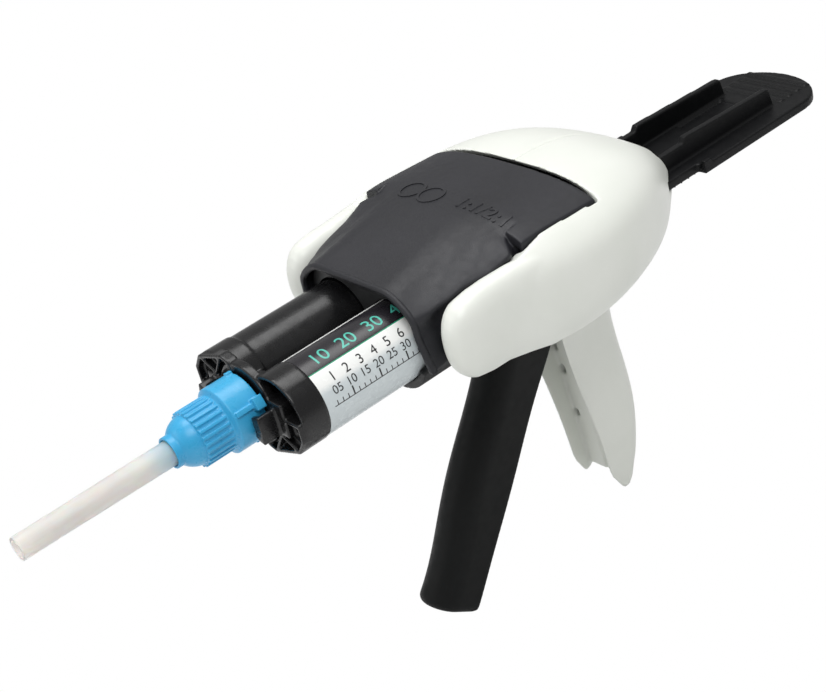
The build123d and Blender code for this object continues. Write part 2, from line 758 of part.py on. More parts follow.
channel_stations = [
    (*bar_point(trigger_wall), bar_top[2], bar_top[3]),
    *bar_stations[1:-1],
    (*bar_point(bar_length - trigger_wall), bar_low[2] - 0.5, bar_low[3]),
]
bar_outer = bar_volume(0, 0, bar_stations)
with BuildPart() as bar_shape:
    add(bar_outer)
    bottom_edges = bar_shape.faces().sort_by(Axis.Z)[0].edges()
    fillet(bottom_edges, bar_end_fillet)
with BuildPart() as bar:
    add(bar_shape.part)
    add(bar_volume(trigger_wall, 2, channel_stations), mode=Mode.SUBTRACT)
rib_depth_back = bar_low[3] - bar_rib_setback
with BuildPart() as bar_ribs:
    for i in range(bar_rib_count):
        place = bar_point(bar_length * (i + 1) / (bar_rib_count + 1))
        with BuildSketch(bar_plane(place)):
            Rectangle(40, 40)
        extrude(amount=bar_rib_thickness)
    add(bar_shape.part, mode=Mode.INTERSECT)
    with BuildSketch(side_plane(20)):
        corners = [
            (point[0] - ahead[0] * back, point[1] - ahead[1] * back)
            for point, back in (
                (bar_point(-5), rib_depth_back), (bar_point(bar_length + 5), rib_depth_back),
                (bar_point(bar_length + 5), 30), (bar_point(-5), 30),
            )
        ]
        Polygon(*corners, align=None)
    extrude(amount=40, mode=Mode.SUBTRACT)
neck_point = bar_point(3.0)
with BuildPart() as trigger:
    add(bar.part)
    add(bar_ribs.part)
    for cheek_y in (trigger_half, -trigger_half + cheek_thickness):
        with BuildSketch(side_plane(cheek_y)):
            with Locations((pivot_x, pivot_z)):
                Circle(hub_r)
            with Locations(neck_point):
                Circle(neck_r_bar)
            make_hull()
        extrude(amount=cheek_thickness)
        with BuildSketch(side_plane(cheek_y)):
            with Locations((pivot_x, pivot_z)):
                Circle(hub_r - 1)
            with Locations((pawl_pin_x, pawl_pin_z)):
                Circle(pawl_eye_r)
            make_hull()
        extrude(amount=cheek_thickness)
    round_y(pivot_x, pivot_z, -12, 12, pivot_pin_r + running_gap, mode=Mode.SUBTRACT)
    round_y(pawl_pin_x, pawl_pin_z, -12, 12, pawl_pin_r + running_gap, mode=Mode.SUBTRACT)
trigger.part.label = "trigger"
export_step(trigger.part, "parts/trigger.step")

# Torsion springs about the two pins
return_start = -return_coil_length / 2
with BuildPart() as trigger_return_spring:
    add(coil(pivot_x, pivot_z, return_start, return_coil_length, return_coil_r, return_wire_r, 1.55))
trigger_return_spring.part.label = "trigger_return_spring"
export_step(trigger_return_spring.part, "parts/trigger_return_spring.step")

with BuildPart() as drive_pawl_spring:
    add(coil(pawl_pin_x, pawl_pin_z, -2.8, 5.6, pawl_coil_r, pawl_wire_r, 1.25))
drive_pawl_spring.part.label = "drive_pawl_spring"
export_step(drive_pawl_spring.part, "parts/drive_pawl_spring.step")

with BuildPart() as check_pawl_spring:
    add(coil(check_pin_x, check_pin_z, -2.8, 5.6, pawl_coil_r, pawl_wire_r, 1.25))
check_pawl_spring.part.label = "check_pawl_spring"
export_step(check_pawl_spring.part, "parts/check_pawl_spring.step")

with BuildPart() as drive_pawl_pin:
    round_y(pawl_pin_x, pawl_pin_z, -pawl_outer - 0.2, pawl_outer + 0.2, pawl_pin_r)
drive_pawl_pin.part.label = "drive_pawl_pin"
export_step(drive_pawl_pin.part, "parts/drive_pawl_pin.step")

with BuildPart() as check_pawl_pin:
    round_y(check_pin_x, check_pin_z, -check_lug_inner - 2.4, check_lug_inner + 2.4, pawl_pin_r)
check_pawl_pin.part.label = "check_pawl_pin"
export_step(check_pawl_pin.part, "parts/check_pawl_pin.step")

# Pawls: two blades each, joined by a cross bar
pawl_tip_z = tooth_tip_z - pawl_clearance
with BuildPart() as drive_pawl:
    for blade_y in (pawl_outer, -pawl_inner):
        with BuildSketch(side_plane(blade_y)):
            with Locations((pawl_pin_x, pawl_pin_z)):
                Circle(pawl_hub_r)
            Polygon(
                (pawl_pin_x, pawl_pin_z + pawl_hub_r), (pawl_pin_x + pawl_reach - 1.2, pawl_tip_z),
                (pawl_pin_x + pawl_reach, pawl_tip_z), (pawl_pin_x + pawl_reach, pawl_tip_z - 2.2),
                (pawl_pin_x, pawl_pin_z - pawl_hub_r + 0.4),
                align=None,
            )
        extrude(amount=pawl_outer - pawl_inner)
    block(
        (pawl_pin_x + pawl_reach - 1.8, pawl_pin_x + pawl_reach),
        (-pawl_outer, pawl_outer),
        (pawl_tip_z - 2.2, pawl_tip_z),
    )
    round_y(pawl_pin_x, pawl_pin_z, -20, 20, pawl_pin_r + running_gap, mode=Mode.SUBTRACT)
drive_pawl.part.label = "drive_pawl"
export_step(drive_pawl.part, "parts/drive_pawl.step")

with BuildPart() as check_pawl:
    for blade_y in (pawl_outer, -pawl_inner):
        with BuildSketch(side_plane(blade_y)):
            with Locations((check_pin_x, check_pin_z)):
                Circle(pawl_hub_r)
            Polygon(
                (check_pin_x, check_pin_z + pawl_hub_r), (check_pin_x + 4.6, pawl_tip_z),
                (check_pin_x + 5.6, pawl_tip_z), (check_pin_x + 5.6, pawl_tip_z - 2.0),
                (check_pin_x, check_pin_z - pawl_hub_r), (check_pin_x - 5.2, check_pin_z - 1.2),
                (check_pin_x - 5.2, check_pin_z + 1.2),
                align=None,
            )
        extrude(amount=pawl_outer - pawl_inner)
    block(
        (check_pin_x - 5.2, check_pin_x - 3.4),
        (-pawl_outer, pawl_outer),
        (check_pin_z - 1.2, check_pin_z + 1.2),
    )
    round_y(check_pin_x, check_pin_z, -20, 20, pawl_pin_r + running_gap, mode=Mode.SUBTRACT)
check_pawl.part.label = "check_pawl"
export_step(check_pawl.part, "parts/check_pawl.step")

# Plunger: a flat plate with two arms, two rails and two rows of teeth
with BuildPart() as plunger:
    with BuildSketch(Plane.XY.offset(plate_bottom)):
        with BuildLine():
            Polyline(
                (plate_rear_x + plate_round, plate_half_wide), (plate_step_x, plate_half_wide),
                (plate_step_x, plate_half_narrow), (arm_front_x, plate_half_narrow),
                (arm_front_x, -plate_half_narrow), (plate_step_x, -plate_half_narrow),
                (plate_step_x, -plate_half_wide), (plate_rear_x + plate_round, -plate_half_wide),
            )
            EllipticalCenterArc(
                (plate_rear_x + plate_round, 0), plate_round, plate_half_wide, start_angle=90, arc_size=180
            )
        make_face()
    extrude(amount=plate_thickness)
    block((plate_step_x + 1, arm_front_x + 1), (-arm_inner, arm_inner), (-10, 0), mode=Mode.SUBTRACT)
    for side in (-1, 1):
        low, high = sorted((side * rail_inner, side * rail_outer))
        with BuildSketch(side_plane(high)):
            Polygon(
                (rail_rear_x - 1.5, plate_top - 0.5), (rail_rear_x, rail_rear_top),
                (plate_step_x - 1.5, rail_top), (plate_step_x, rail_top - rail_drop),
                (arm_front_x - 0.5, rail_top - rail_drop), (arm_front_x - 0.5, plate_top - 0.5),
                align=None,
            )
        extrude(amount=rail_outer - rail_inner)
        low, high = sorted((side * tooth_inner, side * tooth_outer))
        with BuildSketch(side_plane(high)):
            for i in range(tooth_count):
                tooth_x = tooth_rear_x + i * tooth_pitch
                Polygon(
                    (tooth_x, plate_bottom + 0.1), (tooth_x, tooth_tip_z), (tooth_x + 0.7, tooth_tip_z),
                    (tooth_x + tooth_pitch - 0.3, plate_bottom + 0.1),
                    align=None,
                )
        extrude(amount=tooth_outer - tooth_inner)
        nub_low, nub_high = sorted((side * (plate_half_wide - nub_width), side * plate_half_wide))
        block((plate_step_x - 3.5, plate_step_x), (nub_low, nub_high), (plate_top - 0.2, plate_top + nub_height))
    recess_half = rail_inner - 0.8
    block((-141, -119), (-recess_half, recess_half), (plate_top - 0.8, plate_top + 1), mode=Mode.SUBTRACT)
    for i in range(grip_ridge_count):
        ridge_x = grip_ridge_front_x - i * grip_ridge_pitch
        ridge_y = (-grip_ridge_half, grip_ridge_half)
        block((ridge_x - 1.8, ridge_x), ridge_y, (plate_top - 0.2, plate_top + 0.5))
plunger.part.label = "plunger"
export_step(plunger.part, "parts/plunger.step")

for side, disc_name in ((1, "left_push_disc"), (-1, "right_push_disc")):
    with BuildPart() as push_disc:
        round_x(arm_front_x, arm_front_x + disc_thickness, disc_r, side * half_spacing)
        chamfer(push_disc.edges().filter_by(GeomType.CIRCLE).sort_by(Axis.X)[-1:], 0.6)
    push_disc.part.label = disc_name
    export_step(push_disc.part, f"parts/{disc_name}.step")

for side, piston_name in ((1, "left_piston"), (-1, "right_piston")):
    with BuildPart() as piston:
        centre = side * half_spacing
        round_x(piston_rear_x, piston_rear_x + piston_length, bore_r - piston_gap, centre)
        round_x(piston_rear_x + 2.5, piston_rear_x + 3.7, bore_r + 1, centre, mode=Mode.SUBTRACT)
        round_x(piston_rear_x + 2, piston_rear_x + 4.2, bore_r - 1.2, centre)
        round_x(piston_rear_x - 1, piston_rear_x + 1.5, bore_r - 3, centre, mode=Mode.SUBTRACT)
    piston.part.label = piston_name
    export_step(piston.part, f"parts/{piston_name}.step")

# Cartridge: two barrels with a rear flange, caps and a common outlet
with BuildPart() as cartridge_body:
    for side in (-1, 1):
        centre = side * half_spacing
        round_x(cartridge_rear_x, end_wall_x, barrel_r, centre)
        round_x(cartridge_rear_x, cartridge_rear_x + flange_thickness, flange_r, centre)
        round_x(cap_rear_x, cap_front_x, cap_r, centre)
        round_x(end_wall_x, cap_front_x + 1, cap_r - 1.3, centre, mode=Mode.SUBTRACT)
    block(
        (cartridge_rear_x, cartridge_rear_x + flange_thickness),
        (-half_spacing, half_spacing),
        (-flange_r + 4, flange_r - 4),
    )
    block((end_wall_x - 1, 70), (-half_spacing - 5, half_spacing + 5), (-outlet_half, outlet_half))
    for side in (-1, 1):
        centre = side * half_spacing
        # shoulder and level gusset inside the cap
        with Locations(Location(((end_wall_x + shoulder_end_x) / 2 - 0.2, centre, 0), (0, 90, 0))):
            Cone(cap_r - 1.2, shoulder_end_r, shoulder_end_x - end_wall_x)
        with Locations((64.6, centre, 0)):
            Box(6.8, 2 * cap_r - 1.6, 1.4)
        # wing below one barrel and above the other: a flat rim with a pocket and ribs inside it
        rim = [(side * y, side * z) for y, z in wing_rim]
        hub = (side * wing_hub[0], side * wing_hub[1])
        with BuildSketch(cross_plane(wing_rear_x)):
            Polygon(*rim, align=None)
            offset(amount=-wing_rim_width, kind=Kind.INTERSECTION, mode=Mode.SUBTRACT)
            for end in wing_rib_ends:
                end = (side * end[0], side * end[1])
                reach = hypot(end[0] - hub[0], end[1] - hub[1])
                lean_y = (end[1] - hub[1]) / reach * wing_rib_width / 2
                lean_z = (end[0] - hub[0]) / reach * wing_rib_width / 2
                Polygon(
                    (hub[0] + lean_y, hub[1] - lean_z), (end[0] + lean_y, end[1] - lean_z),
                    (end[0] - lean_y, end[1] + lean_z), (hub[0] - lean_y, hub[1] + lean_z),
                    align=None,
                )
        extrude(amount=wing_front_x - wing_rear_x)
        with BuildSketch(cross_plane(wing_rear_x)):
            Polygon(*rim, align=None)
        extrude(amount=wing_floor)
    round_x(end_wall_x - 1, 75.3, 6.4)
    round_x(66.5, 69.5, 13.0)
    for start in (-22, 158):
        ring_piece((68, 76), (13.3, 15.3), start, 36)
        ring_piece((66.5, 69.5), (12.5, 15.3), start, 36)
        ring_piece((74.3, 76), (11.2, 15.3), start, 36)
    for side in (-1, 1):
        round_x(cartridge_rear_x - 1, cap_rear_x, bore_r, side * half_spacing, mode=Mode.SUBTRACT)
        low, high = sorted((side * 1.2, side * (half_spacing + 3)))
        block((cap_rear_x - 1, 66), (low, high), (-2, 2), mode=Mode.SUBTRACT)
        round_x(65.9, 76, 2.4, side * 3.6, mode=Mode.SUBTRACT)
cartridge_body.part.label = "cartridge_body"
export_step(cartridge_body.part, "parts/cartridge_body.step")

with BuildPart() as cartridge_label:
    round_x(label_rear_x, cap_rear_x - 0.3, barrel_r + 0.05 + label_thickness, half_spacing)
    round_x(label_rear_x - 1, cap_rear_x + 1, barrel_r + 0.05, half_spacing, mode=Mode.SUBTRACT)
cartridge_label.part.label = "cartridge_label"
export_step(cartridge_label.part, "parts/cartridge_label.step")

# Mixer: flange, tube and mixing element stay still; the collar turns about them
with BuildPart() as mixer_base:
    round_x(75.5, 78.5, 8.8)
    round_x(75.5, 84.0, tube_bore_r)
    round_x(75, 84.5, 2.2, mode=Mode.SUBTRACT)
mixer_base.part.label = "mixer_base"
export_step(mixer_base.part, "parts/mixer_base.step")

with BuildPart() as mixer_tube:
    with BuildSketch(Plane.XZ):
        Polygon(
            (78.5, tube_bore_r + 0.02), (78.5, tube_r), (neck_end_x, tube_r),
            (tube_end_x - tube_land, tube_end_r), (tube_end_x, tube_end_r), (tube_end_x, tube_bore_r + 0.02),
            align=None,
        )
    revolve(axis=Axis.X)
mixer_tube.part.label = "mixer_tube"
export_step(mixer_tube.part, "parts/mixer_tube.step")

with BuildPart() as mixing_helix:
    round_x(84.2, 143, 0.7)
    for i in range(helix_count):
        with Locations(Location((84.4 + 3.2 + i * 6.45, 0, 0), (90 * i + 20, 0, 0))):
            Box(6.2, 2 * helix_r, 0.9)
mixing_helix.part.label = "mixing_helix"
export_step(mixing_helix.part, "parts/mixing_helix.step")

with BuildPart() as mixer_collar:
    with BuildSketch(Plane.XZ):
        Polygon(
            (skirt_rear_x, 0), (skirt_rear_x, skirt_r), (skirt_front_x - 0.8, skirt_r),
            (skirt_front_x, knob_r - 0.1), (skirt_front_x + 1, knob_r - rib_depth),
            (knob_front_x, knob_r - rib_depth), (knob_front_x + 0.3, nose_r), (neck_start_x, neck_r),
            (neck_end_x, neck_r), (neck_end_x, 0),
            align=None,
        )
    revolve(axis=Axis.X)
    for i in range(rib_count):
        with Locations(Location((0, 0, 0), (360 * i / rib_count, 0, 0))):
            with Locations(((skirt_front_x + 0.5 + knob_front_x) / 2, 0, knob_r - 0.75)):
                Box(knob_front_x - skirt_front_x - 0.5, 1.0, 1.5)
    for start in (lug_angle, lug_angle + 180):
        lug_x = (skirt_rear_x, skirt_rear_x + lug_length)
        ring_piece(lug_x, (skirt_r - 0.5, lug_r), start - lug_half_angle, 2 * lug_half_angle)
        ring_piece((skirt_rear_x, skirt_front_x - 1.5), (skirt_r - 0.5, skirt_r + 0.9), start - 4, 8)
    for start in (105, 150, 285, 330):
        ring_piece((skirt_rear_x, skirt_rear_x + 2.2), (skirt_r - 0.5, skirt_r + 0.8), start - 4, 8)
    round_x(skirt_rear_x - 1, skirt_front_x - 0.5, cavity_r, mode=Mode.SUBTRACT)
    round_x(skirt_front_x - 1, neck_end_x + 1, collar_bore_r, mode=Mode.SUBTRACT)
mixer_collar.part.label = "mixer_collar"
export_step(mixer_collar.part, "parts/mixer_collar.step")
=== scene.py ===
"""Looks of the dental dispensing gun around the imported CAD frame: materials, stage, light, camera."""

import json
import math

import bmesh
import bpy
from mathutils import Matrix, Vector
from mathutils.bvhtree import BVHTree


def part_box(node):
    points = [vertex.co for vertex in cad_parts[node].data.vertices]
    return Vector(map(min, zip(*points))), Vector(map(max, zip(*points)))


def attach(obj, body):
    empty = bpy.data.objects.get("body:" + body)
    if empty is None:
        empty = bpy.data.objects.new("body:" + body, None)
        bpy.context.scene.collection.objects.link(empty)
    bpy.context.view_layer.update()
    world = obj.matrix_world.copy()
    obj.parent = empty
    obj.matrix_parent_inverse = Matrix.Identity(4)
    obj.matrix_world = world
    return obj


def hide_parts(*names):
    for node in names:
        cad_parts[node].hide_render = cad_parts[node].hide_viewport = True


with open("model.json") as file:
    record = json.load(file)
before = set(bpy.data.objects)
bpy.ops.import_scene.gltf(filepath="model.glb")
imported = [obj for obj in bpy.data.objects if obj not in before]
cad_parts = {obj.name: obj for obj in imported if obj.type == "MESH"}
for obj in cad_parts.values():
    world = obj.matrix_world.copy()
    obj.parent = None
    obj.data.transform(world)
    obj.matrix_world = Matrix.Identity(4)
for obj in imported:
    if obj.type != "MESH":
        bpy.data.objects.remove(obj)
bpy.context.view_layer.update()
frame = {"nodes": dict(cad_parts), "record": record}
nodes = frame["nodes"]

# Camera fitted to the photograph, in metres and pixels
IMAGE_WIDTH = 826
FOCAL_PIXELS = 1775.62
SENSOR_WIDTH = 36.0
TARGET = Vector((0.0112, 0.0, -0.01401))
DISTANCE = 0.5371
VIEW_AZIMUTH = math.radians(57.46)
VIEW_ELEVATION = math.radians(29.82)
VIEW_ROLL = math.radians(-15.27)
# Height of the floor, and a height above the whole object from where its surface is looked for
FLOOR_Z = -0.118
RAY_START_Z = 0.06


def clamped(share):
    """The share held between 0 and 1."""
    return min(max(share, 0), 1)


def smooth_step(share):
    """Rises from 0 to 1 without corners as the share does."""
    share = clamped(share)
    return share * share * (3 - 2 * share)


def tree_of(mesh):
    """Search tree of a mesh, to find its surface along a ray."""
    places = [vertex.co.copy() for vertex in mesh.vertices]
    return BVHTree.FromPolygons(places, [polygon.vertices[:] for polygon in mesh.polygons])


def surface_below(tree, x, y):
    """Point where a line straight down through a place meets the surface, or None."""
    return tree.ray_cast(Vector((x, y, RAY_START_Z)), Vector((0, 0, -1)))[0]


def mesh_of(holder):
    """Mesh that a curve or text object makes. The object itself is removed."""
    bpy.context.scene.collection.objects.link(holder)
    depsgraph = bpy.context.evaluated_depsgraph_get()
    mesh = bpy.data.meshes.new_from_object(holder.evaluated_get(depsgraph))
    bpy.data.objects.remove(holder)
    return mesh


def shown(name, data):
    """Object in the scene that shows a mesh, a light or a camera."""
    piece = bpy.data.objects.new(name, data)
    bpy.context.scene.collection.objects.link(piece)
    return piece


# Shader helpers


class Shader:
    """A material's node tree with short ways to add nodes."""

    def __init__(self, name):
        self.material = bpy.data.materials.new(name)
        self.material.use_nodes = True
        self.tree = self.material.node_tree
        self.main = self.tree.nodes["Principled BSDF"]

    def node(self, kind, **values):
        made = self.tree.nodes.new(kind)
        for key, value in values.items():
            if key in made.inputs:
                made.inputs[key].default_value = value
            else:
                setattr(made, key, value)
        return made

    def link(self, start, end):
        self.tree.links.new(start, end)

    def coords(self, stretch=(1, 1, 1)):
        """Object coordinates in millimetres, scaled along each axis."""
        source = self.node("ShaderNodeTexCoord")
        scale = self.node("ShaderNodeMapping")
        scale.inputs["Scale"].default_value = [1000 * s for s in stretch]
        self.link(source.outputs["Object"], scale.inputs["Vector"])
        return scale.outputs["Vector"]

    def noise(self, scale, detail=2.0, stretch=(1, 1, 1), roughness=0.5):
        made = self.node("ShaderNodeTexNoise")
        made.inputs["Scale"].default_value = scale
        made.inputs["Detail"].default_value = detail
        made.inputs["Roughness"].default_value = roughness
        self.link(self.coords(stretch), made.inputs["Vector"])
        return made.outputs["Fac"]

    def ramp(self, factor, low, high, start=0.0, end=1.0):
        """Colour between low and high as a factor goes from start to end."""
        made = self.node("ShaderNodeMapRange")
        made.inputs["From Min"].default_value = start
        made.inputs["From Max"].default_value = end
        self.link(factor, made.inputs["Value"])
        mix = self.node("ShaderNodeMix")
        mix.data_type = "RGBA"
        mix.inputs["A"].default_value = (*low, 1)
        mix.inputs["B"].default_value = (*high, 1)
        self.link(made.outputs["Result"], mix.inputs["Factor"])
        return mix.outputs["Result"]

    def level(self, factor, low, high, start=0.0, end=1.0):
        """Number between low and high as a factor goes from start to end."""
        made = self.node("ShaderNodeMapRange")
        made.inputs["From Min"].default_value = start
        made.inputs["From Max"].default_value = end
        made.inputs["To Min"].default_value = low
        made.inputs["To Max"].default_value = high
        self.link(factor, made.inputs["Value"])
        return made.outputs["Result"]

    def relief(self, height, strength, distance):
        """Adds a fine surface relief, with distance in metres."""
        bump = self.node("ShaderNodeBump")
        bump.inputs["Strength"].default_value = strength
        bump.inputs["Distance"].default_value = distance
        self.link(height, bump.inputs["Height"])
        self.link(bump.outputs["Normal"], self.main.inputs["Normal"])


def plastic(name, low, high, rough, grain, relief, spread=0.06, sheen=0.5):
    """Moulded plastic: a faint drift of tone, a mottled gloss and a fine grain."""
    shader = Shader(name)
    shader.main.inputs["Specular IOR Level"].default_value = sheen
    shader.link(
        shader.ramp(shader.noise(0.045, 3), low, high, 0.3, 0.7),
        shader.main.inputs["Base Color"],
    )
    shader.link(
        shader.level(shader.noise(0.35, 4), rough - spread, rough + spread, 0.3, 0.7),
        shader.main.inputs["Roughness"],
    )
    shader.relief(shader.noise(grain, 3), 1.0, relief)
    return shader.material


def steel(name, tone, rough):
    """Bare steel with fine drawn lines."""
    shader = Shader(name)
    shader.main.inputs["Metallic"].default_value = 1.0
    dark = [t * 0.86 for t in tone]
    shader.link(
        shader.ramp(shader.noise(1.2, 3, (1, 0.1, 1)), dark, tone, 0.3, 0.7),
        shader.main.inputs["Base Color"],
    )
    shader.link(
        shader.level(shader.noise(2.5, 2), rough - 0.06, rough + 0.06, 0.3, 0.7),
        shader.main.inputs["Roughness"],
    )
    shader.relief(shader.noise(4.0, 2, (1, 0.1, 1)), 1.0, 0.000004)
    return shader.material


# name, darkest and lightest tone, roughness, scale of the grain, its height in metres,
# spread of the roughness and share of specular light
shell_white = plastic(
    "shell_white", (0.735, 0.755, 0.70), (0.775, 0.79, 0.74), 0.33, 5.0, 0.000008, 0.012, 0.45,
)
cradle_dark = plastic(
    "cradle_dark", (0.007, 0.0075, 0.008), (0.010, 0.0105, 0.011), 0.45, 4.0, 0.000014, 0.06, 0.3,
)
lid_dark = plastic(
    "lid_dark", (0.0122, 0.0125, 0.0156), (0.0172, 0.0175, 0.0218), 0.5, 3.4, 0.00006, 0.06, 0.42,
)
retainer_grey = plastic(
    "retainer_grey", (0.02, 0.021, 0.022), (0.03, 0.031, 0.032), 0.45, 4.0, 0.000015,
)
frame_grey = plastic("frame_grey", (0.05, 0.05, 0.055), (0.07, 0.07, 0.075), 0.5, 4.0, 0.000015)
trigger_black = plastic(
    "trigger_black", (0.0032, 0.0036, 0.0036), (0.0052, 0.0058, 0.0058), 0.5, 4.5, 0.000025, 0.07, 0.17,
)
plunger_black = plastic(
    "plunger_black", (0.0030, 0.0032, 0.0036), (0.0050, 0.0052, 0.0058), 0.46, 4.5, 0.000018, 0.06, 0.18,
)
cartridge_black = plastic(
    "cartridge_black", (0.0045, 0.0045, 0.005), (0.007, 0.007, 0.0075), 0.27, 2.0, 0.000006, 0.05, 0.42,
)
piston_white = plastic("piston_white", (0.75, 0.75, 0.72), (0.8, 0.8, 0.77), 0.4, 4.0, 0.00001)
collar_blue = plastic("collar_blue", (0.028, 0.335, 0.62), (0.045, 0.385, 0.67), 0.3, 4.0, 0.00001)
helix_white = plastic("helix_white", (0.78, 0.79, 0.79), (0.85, 0.86, 0.86), 0.35, 4.0, 0.00001)
pin_steel = steel("pin_steel", (0.62, 0.62, 0.63), 0.28)
spring_steel = steel("spring_steel", (0.55, 0.56, 0.58), 0.24)
pawl_steel = steel("pawl_steel", (0.48, 0.49, 0.5), 0.36)
ink_black = plastic("ink_black", (0.012, 0.012, 0.013), (0.02, 0.02, 0.021), 0.34, 6.0, 0.000002)
ink_teal = plastic("ink_teal", (0.06, 0.42, 0.33), (0.08, 0.5, 0.40), 0.34, 6.0, 0.000002)

# Label: bands that run along the barrel, each from one angle about its axis to the next, with a
# pale edge line between the dark band and the last angle
BARREL_Y = 0.0134
LABEL_R = 0.0122
EDGE_LINE_END = 126.0
DARK_BAND = (56.0, 110.5)
GREEN_LINE = (54.4, 56.0)
PALE_FROM = 28.0
# Scale on the label, in degrees about the barrel and millimetres along it
SCALE_END = 57.2
FINE_TICK = (2.0, 8.5)
FINE_PITCH = 1.0
FINE_WIDTH = 0.16
COARSE_TICK = (2.0, 14.5)
COARSE_PITCH = 5.0
COARSE_WIDTH = 0.26
SCALE_RULE = (1.2, 2.6)


def label_film():
    """Printed film: a pale edge line, a dark band, a green line and a pale field with a scale."""
    shader = Shader("label_film")
    split = shader.node("ShaderNodeSeparateXYZ")
    shader.link(shader.coords(), split.inputs["Vector"])

    def sum_up(operation, first, second):
        """Result of a sum of two values or outputs."""
        made = shader.node("ShaderNodeMath", operation=operation)
        for index, value in enumerate((first, second)):
            if isinstance(value, (int, float)):
                made.inputs[index].default_value = value
            else:
                shader.link(value, made.inputs[index])
        return made.outputs["Value"]

    across = sum_up("SUBTRACT", split.outputs["Y"], BARREL_Y * 1000)
    angle = sum_up("MULTIPLY", sum_up("ARCTAN2", split.outputs["Z"], across), 180 / math.pi)
    along = split.outputs["X"]

    def inside(value, low, high):
        """1 between two limits, 0 elsewhere."""
        above = sum_up("GREATER_THAN", value, low)
        below = sum_up("LESS_THAN", value, high)
        return sum_up("MULTIPLY", above, below)

    def paint(base, mask, colour):
        """The base with a colour laid over it where the mask is 1."""
        mix = shader.node("ShaderNodeMix")
        mix.data_type = "RGBA"
        mix.inputs["B"].default_value = (*colour, 1)
        shader.link(base, mix.inputs["A"])
        shader.link(mask, mix.inputs["Factor"])
        return mix.outputs["Result"]

    grey = (0.60, 0.655, 0.67)
    pale = (0.86, 0.87, 0.85)
    colour = shader.ramp(angle, grey, pale, PALE_FROM - 4, PALE_FROM + 6)
    colour = paint(colour, inside(angle, *DARK_BAND), (0.014, 0.0125, 0.016))
    colour = paint(colour, inside(angle, *GREEN_LINE), (0.02, 0.30, 0.16))
    colour = paint(colour, sum_up("GREATER_THAN", angle, EDGE_LINE_END), (0.01, 0.01, 0.011))
    fine = sum_up("LESS_THAN", sum_up("PINGPONG", along, FINE_PITCH), FINE_WIDTH)
    coarse = sum_up("LESS_THAN", sum_up("PINGPONG", along, COARSE_PITCH), COARSE_WIDTH)
    ticks = sum_up("MULTIPLY", fine, inside(angle, *FINE_TICK))
    marks = sum_up("MULTIPLY", coarse, inside(angle, *COARSE_TICK))
    on_scale = sum_up("LESS_THAN", along, SCALE_END)
    printed = sum_up("MULTIPLY", sum_up("MAXIMUM", ticks, marks), on_scale)
    rule = sum_up("MULTIPLY", inside(angle, *SCALE_RULE), on_scale)
    colour = paint(colour, sum_up("MAXIMUM", printed, rule), (0.02, 0.02, 0.021))
    shader.link(colour, shader.main.inputs["Base Color"])
    rough = shader.level(shader.noise(0.4, 3), 0.24, 0.29, 0.3, 0.7)
    shader.link(rough, shader.main.inputs["Roughness"])
    shader.relief(shader.noise(0.12, 2), 1.0, 0.00001)
    return shader.material


# Tube: from where to where the collar's blue, seen through it, is painted into its colour, in
# millimetres along it
PAINTED_BLUE_START = 97.0
PAINTED_BLUE_END = 106.0


def milky_tube():
    """Milky clear plastic with faint streaks along it, and the collar's blue, seen through it, painted
    into its colour beside the collar.
    """
    shader = Shader("tube_clear")
    streaks = shader.ramp(
        shader.noise(0.8, 3, (0.08, 1, 1)), (0.975, 0.915, 0.875), (1.0, 0.985, 0.96), 0.35, 0.65,
    )
    place = shader.node("ShaderNodeSeparateXYZ")
    shader.link(shader.coords(), place.inputs["Vector"])
    # Painted light: the collar's blue seen through the tube, painted into the tube's base colour near
    # the collar
    painted_blue = shader.node("ShaderNodeMix", data_type="RGBA")
    painted_blue.inputs["B"].default_value = (0.55, 0.80, 0.93, 1)
    shader.link(shader.level(place.outputs["X"], 0.75, 0.0, PAINTED_BLUE_START, PAINTED_BLUE_END), painted_blue.inputs["Factor"])
    shader.link(streaks, painted_blue.inputs["A"])
    shader.link(painted_blue.outputs["Result"], shader.main.inputs["Base Color"])
    shader.main.inputs["Transmission Weight"].default_value = 0.6
    shader.main.inputs["IOR"].default_value = 1.22
    shader.main.inputs["Subsurface Weight"].default_value = 0.3
    shader.main.inputs["Subsurface Scale"].default_value = 0.004
    rough = shader.level(shader.noise(0.8, 3), 0.3, 0.42, 0.3, 0.7)
    shader.link(rough, shader.main.inputs["Roughness"])
    shader.relief(shader.noise(0.12, 2), 1.0, 0.00003)
    return shader.material


finishes = {
    "left_shell": shell_white,
    "right_shell": shell_white,
    "cradle": cradle_dark,
    "mechanism_frame": frame_grey,
    "shell_screws": pin_steel,
    "lid_hinge_pin": pin_steel,
    "trigger_pivot_pin": pin_steel,
    "trigger_return_spring": spring_steel,
    "check_pawl_pin": pin_steel,
    "check_pawl_spring": spring_steel,
    "cartridge_body": cartridge_black,
    "cartridge_label": label_film(),
    "mixer_base": collar_blue,
    "mixer_tube": milky_tube(),
    "mixing_helix": helix_white,
    "lid": lid_dark,
    "lid_retainer": retainer_grey,
    "trigger": trigger_black,
    "drive_pawl_pin": pin_steel,
    "drive_pawl_spring": spring_steel,
    "drive_pawl": pawl_steel,
    "check_pawl": pawl_steel,
    "plunger": plunger_black,
    "left_push_disc": plunger_black,
    "right_push_disc": plunger_black,
    "left_piston": piston_white,
    "right_piston": piston_white,
    "mixer_collar": collar_blue,
}
for name, finish in finishes.items():
    piece = nodes[name]
    piece.data.materials.clear()
    piece.data.materials.append(finish)


# Pieces that stand for CAD nodes, with the soft edges of mouldings


def body_name(node):
    """The body that a CAD node rides on."""
    for name, members in frame["record"]["behaviour"]["bodies"].items():
        if node in members:
            return name
    return "root"


def settled(piece):
    """Replaces a piece's mesh by what its modifiers make of it."""
    depsgraph = bpy.context.evaluated_depsgraph_get()
    made = bpy.data.meshes.new_from_object(piece.evaluated_get(depsgraph))
    piece.modifiers.clear()
    piece.data = made


